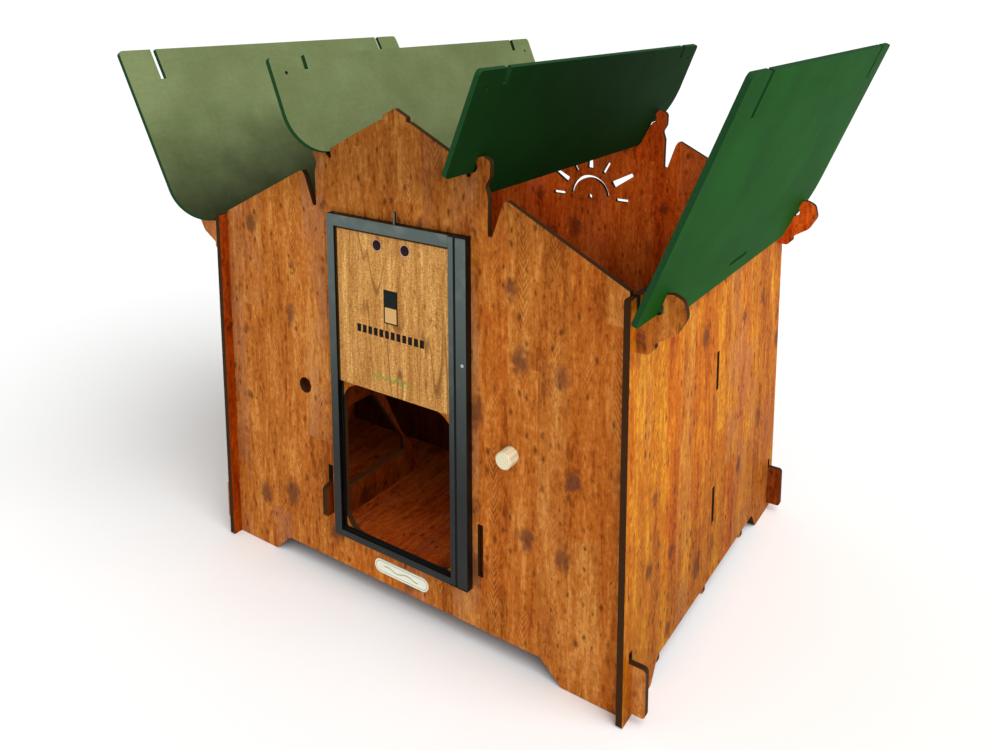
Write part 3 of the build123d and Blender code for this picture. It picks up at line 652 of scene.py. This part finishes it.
def label_finish(fittings, door, low, high):
    """Cream plate with a raised rim, and a plain green ring and wave inside it."""
    s = Shade("label plate", specular_ior_level=0.5)
    x, _, z = s.parts(s.here())
    half = (high.z - low.z) / 2
    from_centre = s.math("ABSOLUTE", s.math("SUBTRACT", x, (low.x + high.x) / 2))
    beyond = s.largest(s.math("SUBTRACT", from_centre, (high.x - low.x) / 2 - half), 0.0)
    rise = s.math("SUBTRACT", z, (low.z + high.z) / 2)
    out = s.math("SQRT", s.total(s.math("POWER", beyond, 2.0), s.math("POWER", rise, 2.0)))
    out = s.math("DIVIDE", out, half)
    ring = s.product(s.band(out, 0.66, 0.70), s.inverse(s.band(out, 0.76, 0.80)))
    wave = s.product(s.math("SINE", s.product(x, 150.0)), 0.0022)
    near_wave = s.math("ABSOLUTE", s.math("SUBTRACT", rise, wave))
    stem = s.product(s.math("LESS_THAN", near_wave, 0.0011), s.math("LESS_THAN", from_centre, 0.036))
    print_wear = s.span(s.noise(s.here(), 500, 3), 0.5, 1.0)
    mottle = s.noise(s.here(), 90, 3)
    colour = s.laid(fittings.plate, mottle, 0.3, srgb(206, 204, 172))
    colour = s.laid(colour, s.largest(ring, stem), print_wear, door.mark)
    s.bump(s.total(s.band(out, 0.84, 0.92), s.product(mottle, 0.05)), 0.5, 0.0008)
    return s.finish(colour, s.span(mottle, 0.32, 0.5))


def circuit_finish():
    """Green circuit board with copper tracks and pale pads."""
    s = Shade("circuit board", specular_ior_level=0.5)
    x, _, z = s.parts(s.here())
    across = s.math("LESS_THAN", s.math("PINGPONG", s.math("DIVIDE", x, 0.0011), 1.0), 0.32)
    lengthwise = s.math("LESS_THAN", s.math("PINGPONG", s.math("DIVIDE", z, 0.0023), 1.0), 0.2)
    patch = s.noise(s.here(), 240, 2)
    tracks = s.product(s.largest(across, lengthwise), s.band(patch, 0.45, 0.5))
    colour = s.laid(srgb(24, 78, 44), tracks, 0.7, srgb(60, 128, 70))
    away, chance = s.cells(s.joined(x, z), 380)
    pads = s.product(s.math("LESS_THAN", away, 0.28), s.math("GREATER_THAN", s.parts(chance)[0], 0.7))
    colour = s.blend(pads, colour, srgb(196, 188, 160))
    s.bump(s.largest(tracks, pads), 0.2, 0.0002)
    return s.finish(colour, s.span(patch, 0.3, 0.5))


def battery_finish(low, high):
    """Three round cells with a plain coloured sleeve and bare ends."""
    s = Shade("battery sleeve", specular_ior_level=0.5)
    _, _, z = s.parts(s.here())
    cell = s.math("FRACT", s.math("DIVIDE", s.math("SUBTRACT", z, low.z), (high.z - low.z) / 3))
    sleeve = s.product(s.math("GREATER_THAN", cell, 0.04), s.math("LESS_THAN", cell, 0.93))
    cuff = s.math("GREATER_THAN", cell, 0.68)
    scuff = s.noise(s.here(), 260, 3)
    body = s.blend(cuff, srgb(38, 52, 60), srgb(190, 122, 58))
    body = s.laid(body, s.band(scuff, 0.6, 0.75), 0.4, srgb(170, 170, 166))
    s.bump(s.total(sleeve, s.product(scuff, 0.1)), 0.2, 0.0002)
    return s.finish(s.blend(sleeve, srgb(190, 188, 182), body), s.span(scuff, 0.24, 0.42))


# -------------------------------------------------------------------- mesh helpers
def dress(names, material, arris=0.0):
    """Give CAD nodes a finish and, where asked, softly broken edges."""
    for name in names:
        shown = NODES[name]
        shown.data.materials.clear()
        shown.data.materials.append(material)
        if arris:
            weld = shown.modifiers.new("weld", "WELD")
            weld.merge_threshold = 1e-6
            bevel = shown.modifiers.new("arris", "BEVEL")
            bevel.width = arris
            bevel.segments = 2
            bevel.limit_method = "ANGLE"
            bevel.angle_limit = math.radians(35)
            bevel.harden_normals = True
            bevel.use_clamp_overlap = True


def turned(name, profile, material, segments=48):
    """Solid turned about Y from (radius, y) points, as a new object at the origin."""
    mesh = bpy.data.meshes.new(name)
    work = bmesh.new()
    rings = []
    for radius, y in profile:
        if radius < 1e-6:
            rings.append([work.verts.new((0, y, 0))])
            continue
        ring = []
        for n in range(segments):
            a = 2 * math.pi * n / segments
            ring.append(work.verts.new((radius * math.cos(a), y, radius * math.sin(a))))
        rings.append(ring)
    for before, after in zip(rings, rings[1:]):
        for n in range(segments):
            m = (n + 1) % segments
            around = (before[n % len(before)], before[m % len(before)], after[m % len(after)], after[n % len(after)])
            unique = list(dict.fromkeys(around))
            if len(unique) > 2:
                work.faces.new(unique)
    bmesh.ops.recalc_face_normals(work, faces=work.faces)
    work.to_mesh(mesh)
    work.free()
    mesh.shade_smooth()
    mesh.materials.append(material)
    shape = bpy.data.objects.new(name, mesh)
    bpy.context.scene.collection.objects.link(shape)
    return shape


def corners(node):
    """Low and high corner of a CAD node's box."""
    low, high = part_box(node)
    return Vector(low), Vector(high)


# ---------------------------------------------------------------------- operators
def front_palette(look):
    """Light, middle and dark wood of the front, back and inner boards."""
    return look.light, look.middle, look.dark


def side_palette(look):
    """Light, middle and dark wood of the side boards."""
    return look.side_light, look.side_middle, look.side_dark


class COOP_OT_walls(bpy.types.Operator):
    """Front, back and side boards."""

    bl_idname = "coop.walls"
    bl_label = "Wall boards"

    def execute(self, context):
        look = context.scene.coop_boards
        front, side = front_palette(look), side_palette(look)
        # The last two values of each row are painted light and shade: the brightness of the inward faces low and
        # high up, and the outer face's darkening between two heights.
        for node, name, axes, seed, palette, inner_side, inner_shade, outer_shade in (
            ("front_panel", "front board", FACING_FRONT, 1.0, front, 1, (0.3, 0.8), RIDGE_SHADE),
            ("back_panel", "back board", FACING_FRONT, 5.0, front, -1, (0.42, 1.75), RIDGE_SHADE),
            ("right_side_panel", "right side board", FACING_SIDE, 9.0, side, -1, (0.33, 1.2), GROUND_SHADE),
            ("left_side_panel", "left side board", FACING_SIDE, 13.0, side, 1, (0.5, 0.7), GROUND_SHADE),
        ):
            dress([node], board_finish(name, axes, seed, look, palette, inner_side, inner_shade, outer_shade), BOARD_ARRIS)
        return {"FINISHED"}


class COOP_OT_inner_boards(bpy.types.Operator):
    """Floor, cross boards, middle frame and nest divider."""

    bl_idname = "coop.inner_boards"
    bl_label = "Inner boards"

    def execute(self, context):
        look = context.scene.coop_boards
        front = front_palette(look)
        # The brightness pairs are painted shade on the inward faces, low and high up; on the floor they run from
        # front to back.
        floor = board_finish("floor board", LYING, 17.0, look, front, 1, (0.56, 0.16), shade_reach=FLOOR_SHADE_REACH)
        dress(["floor_panel"], floor, BOARD_ARRIS)
        bearers = ["floor_bearer_front", "floor_bearer_middle", "floor_bearer_back"]
        dress(bearers, board_finish("cross boards", CROSSWISE, 21.0, look, front), BOARD_ARRIS)
        middle = board_finish("middle frame", FACING_FRONT, 25.0, look, front, -1, (0.14, 0.4))
        dress(["mid_frame"], middle, BOARD_ARRIS)
        divider = board_finish("nest board", FACING_SIDE, 29.0, look, front, 1, (0.3, 0.5))
        dress(["nest_divider"], divider, BOARD_ARRIS)
        return {"FINISHED"}


class COOP_OT_roof(bpy.types.Operator):
    """The four green roof boards."""

    bl_idname = "coop.roof"
    bl_label = "Roof boards"

    def execute(self, context):
        look = context.scene.coop_roof
        # Each pair is the green of the weather face and the painted shade at the underside's foot; the inner boards'
        # green is a darker copy of the outside green, in painted shade.
        outer = (look.outside, 0.14)
        inner = (look.crown_shaded, 0.85)
        for name, (outside, foot_shade), side, seed in (
            ("outer_roof_left", outer, -1, 3.0),
            ("outer_roof_right", outer, 1, 6.0),
            ("inner_roof_left", inner, -1, 9.0),
            ("inner_roof_right", inner, 1, 12.0),
        ):
            dress([name], roof_finish(name, look, outside, foot_shade, board_lean(name), side, seed), ROOF_ARRIS)
        return {"FINISHED"}


def board_lean(name):
    """Lean of an open roof board from vertical, from its largest face."""
    mesh = NODES[name].data
    widest = max(mesh.polygons, key=lambda face: face.area)
    return math.atan2(abs(widest.normal.z), abs(widest.normal.x))


class COOP_OT_perch(bpy.types.Operator):
    """Birch dowel through the coop."""

    bl_idname = "coop.perch"
    bl_label = "Perch"

    def execute(self, context):
        low, high = corners("perch")
        dress(["perch"], perch_finish(context.scene.coop_fittings, (low + high) / 2))
        return {"FINISHED"}


class COOP_OT_door_frame(bpy.types.Operator):
    """Anodised profiles with their caps, liners and seal."""

    bl_idname = "coop.door_frame"
    bl_label = "Door frame"

    def execute(self, context):
        look = context.scene.coop_door
        upright = anodised_finish("anodised upright", look, Z, 1.0)
        level = anodised_finish("anodised rail", look, X, 2.0)
        dress(["frame_left_stile", "frame_right_profile"], upright, SMALL_ARRIS)
        dress(["frame_top_rail", "frame_bottom_rail"], level, SMALL_ARRIS)
        dress(["profile_end_caps", "guide_liners"], plastic_finish("black plastic", look.black, 0.5))
        dress(["profile_groove_strip"], plastic_finish("groove strip", look.black, 0.6, 1400, 1.2))
        dress(["bottom_seal"], plastic_finish("seal rubber", look.black, 0.75, 500, 1.8), SEAL_ARRIS)
        return {"FINISHED"}


class COOP_OT_door_leaf(bpy.types.Operator):
    """Oak leaf with its round windows and badge."""

    bl_idname = "coop.door_leaf"
    bl_label = "Door leaf"

    def execute(self, context):
        look = context.scene.coop_door
        dress(["door_leaf"], oak_leaf_finish(look), SMALL_ARRIS)
        dress(["door_window_rims"], metal_finish("window rims", look.rim, 0.34, (1, 0.1, 1)))
        dress(["door_badge"], badge_finish(*corners("door_badge")))
        self.lenses()
        return {"FINISHED"}

    def lenses(self):
        """Dark domed lens over each window, with a thin ring of its rim left bare."""
        smoked = plastic_finish("smoked lens", srgb(34, 8, 8), 0.55, 300, 1.6)
        low, high = corners("door_window_rims")
        outer = (high.z - low.z) / 2
        bare_rim = 0.0010
        rim_width = 0.0038
        lip = outer - bare_rim
        bore = outer - rim_width
        dome = [(0, -0.0009), (lip * 0.5, -0.0008), (lip * 0.9, -0.0005), (lip, -0.0002)]
        plug = [(bore, 0.0), (bore, 0.002), (0, 0.002)]
        for number, x in enumerate((low.x + outer, high.x - outer)):
            lens = turned(f"window_lens_{number + 1}", dome + plug, smoked)
            lens.location = (x, low.y, (low.z + high.z) / 2)
            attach(lens, "door")


class COOP_OT_drive(bpy.types.Operator):
    """Rack, pinion, gearbox, motor, cells and circuit board."""

    bl_idname = "coop.drive"
    bl_label = "Door drive"

    def execute(self, context):
        look = context.scene.coop_door
        nylon = plastic_finish("gear nylon", srgb(38, 38, 40), 0.42, 700)
        dress(["door_rack", "drive_pinion"], nylon)
        dress(["drive_gearbox"], plastic_finish("gearbox plastic", look.black, 0.5, 600), SMALL_ARRIS)
        dress(["drive_motor"], metal_finish("motor can", look.steel, 0.3, (1, 1, 0.05)), MOTOR_ARRIS)
        dress(["battery_cells"], battery_finish(*corners("battery_cells")))
        dress(["battery_contacts"], metal_finish("contact sheet", look.steel, 0.28, (0.1, 1, 1)))
        dress(["control_board"], circuit_finish())
        return {"FINISHED"}


class COOP_OT_fasteners(bpy.types.Operator):
    """Screws and light sensor."""

    bl_idname = "coop.fasteners"
    bl_label = "Screws and sensor"

    def execute(self, context):
        look = context.scene.coop_door
        dress(["control_screw", "frame_screws"], metal_finish("screw steel", look.steel, 0.24, (1, 0.2, 1)))
        dress(["light_sensor"], anodised_finish("sensor rod", look, Z, 3.0))
        return {"FINISHED"}


class COOP_OT_label(bpy.types.Operator):
    """Plain oval plate under the door."""

    bl_idname = "coop.label"
    bl_label = "Label plate"

    def execute(self, context):
        scene = context.scene
        finish = label_finish(scene.coop_fittings, scene.coop_door, *corners("label_plate"))
        dress(["label_plate"], finish, SMALL_ARRIS)
        return {"FINISHED"}


# -------------------------------------------------------------------------- stage
CAMERA_PLACE = Vector((0.8783, -1.3297, 1.0054))
CAMERA_TURN = 0.588
CAMERA_TILT = -0.146
CAMERA_LENS = 31.7
CAMERA_SENSOR = 36
CAMERA_SHIFT = (-0.005, -0.248)
CAMERA_NEAR = 0.05
KEY_PLACE = Vector((3.2, -1.1, 3.9))
STAGE_REACH = 800
STAGE_GAP = 0.0005    # the floor lies this far under the feet


class COOP_OT_stage(bpy.types.Operator):
    """Floor, soft lights and camera."""

    bl_idname = "coop.stage"
    bl_label = "Studio"

    def execute(self, context):
        look = context.scene.coop_stage
        self.floor(look)
        self.sky(context.scene, look)
        self.key_light(context.scene, look)
        self.camera(context.scene)
        context.scene.view_settings.view_transform = "Standard"
        return {"FINISHED"}

    def floor(self, look):
        s = Shade("studio floor", roughness=0.85, specular_ior_level=0.15)
        grit = s.noise(s.here(), 60, 3)
        s.finish(s.blend(grit, look.floor, tuple(c * 0.985 for c in look.floor)))
        mesh = bpy.data.meshes.new("studio_floor")
        height = CAD_LOW[2] - STAGE_GAP
        square = ((-1, -1), (1, -1), (1, 1), (-1, 1))
        mesh.from_pydata([(x * STAGE_REACH, y * STAGE_REACH, height) for x, y in square], [], [(0, 1, 2, 3)])
        mesh.materials.append(s.material)
        floor = bpy.data.objects.new("studio_floor", mesh)
        bpy.context.scene.collection.objects.link(floor)

    def sky(self, scene, look):
        world = bpy.data.worlds.new("soft light")
        world.use_nodes = True
        background = world.node_tree.nodes["Background"]
        background.inputs["Color"].default_value = (1, 1, 1, 1)
        background.inputs["Strength"].default_value = look.sky
        scene.world = world

    def key_light(self, scene, look):
        lamp = bpy.data.lights.new("key light", "SUN")
        lamp.energy = look.key
        lamp.angle = look.softness
        holder = bpy.data.objects.new("key light", lamp)
        holder.location = KEY_PLACE
        holder.rotation_euler = (-KEY_PLACE).to_track_quat("-Z", "Y").to_euler()
        scene.collection.objects.link(holder)

    def camera(self, scene):
        lens = bpy.data.cameras.new("camera")
        lens.sensor_width = CAMERA_SENSOR
        lens.lens = CAMERA_LENS
        lens.shift_x, lens.shift_y = CAMERA_SHIFT
        lens.clip_start = CAMERA_NEAR
        holder = bpy.data.objects.new("camera", lens)
        flat = math.cos(CAMERA_TILT)
        sight = Vector((-math.sin(CAMERA_TURN) * flat, math.cos(CAMERA_TURN) * flat, math.sin(CAMERA_TILT)))
        holder.location = CAMERA_PLACE
        holder.rotation_euler = sight.to_track_quat("-Z", "Y").to_euler()
        scene.collection.objects.link(holder)
        scene.camera = holder


class COOP_PT_looks(bpy.types.Panel):
    """Pieces of the coop and their settings."""

    bl_label = "Coop"
    bl_idname = "COOP_PT_looks"
    bl_space_type = "VIEW_3D"
    bl_region_type = "UI"
    bl_category = "Coop"

    def draw(self, context):
        for group, operators in SECTIONS.items():
            box = self.layout.box()
            settings = getattr(context.scene, group)
            for operator in operators:
                box.operator(operator.bl_idname)
            for key in settings.bl_rna.properties.keys():
                if key not in ("rna_type", "name"):
                    box.prop(settings, key)


SECTIONS = {
    "coop_boards": (COOP_OT_walls, COOP_OT_inner_boards),
    "coop_roof": (COOP_OT_roof,),
    "coop_door": (COOP_OT_door_frame, COOP_OT_door_leaf, COOP_OT_drive, COOP_OT_fasteners),
    "coop_fittings": (COOP_OT_perch, COOP_OT_label),
    "coop_stage": (COOP_OT_stage,),
}
GROUPS = {
    "coop_boards": COOP_PG_boards,
    "coop_roof": COOP_PG_roof,
    "coop_door": COOP_PG_door,
    "coop_fittings": COOP_PG_fittings,
    "coop_stage": COOP_PG_stage,
}


def register():
    for name, group in GROUPS.items():
        bpy.utils.register_class(group)
        setattr(bpy.types.Scene, name, PointerProperty(type=group))
    for operators in SECTIONS.values():
        for operator in operators:
            bpy.utils.register_class(operator)
    bpy.utils.register_class(COOP_PT_looks)


def unregister():
    bpy.utils.unregister_class(COOP_PT_looks)
    for operators in SECTIONS.values():
        for operator in operators:
            bpy.utils.unregister_class(operator)
    for name, group in GROUPS.items():
        delattr(bpy.types.Scene, name)
        bpy.utils.unregister_class(group)


def main():
    register()
    bpy.ops.coop.walls()
    bpy.ops.coop.inner_boards()
    bpy.ops.coop.roof()
    bpy.ops.coop.perch()
    bpy.ops.coop.door_frame()
    bpy.ops.coop.door_leaf()
    bpy.ops.coop.drive()
    bpy.ops.coop.fasteners()
    bpy.ops.coop.label()
    bpy.ops.coop.stage()


if __name__ == "__main__":
    main()
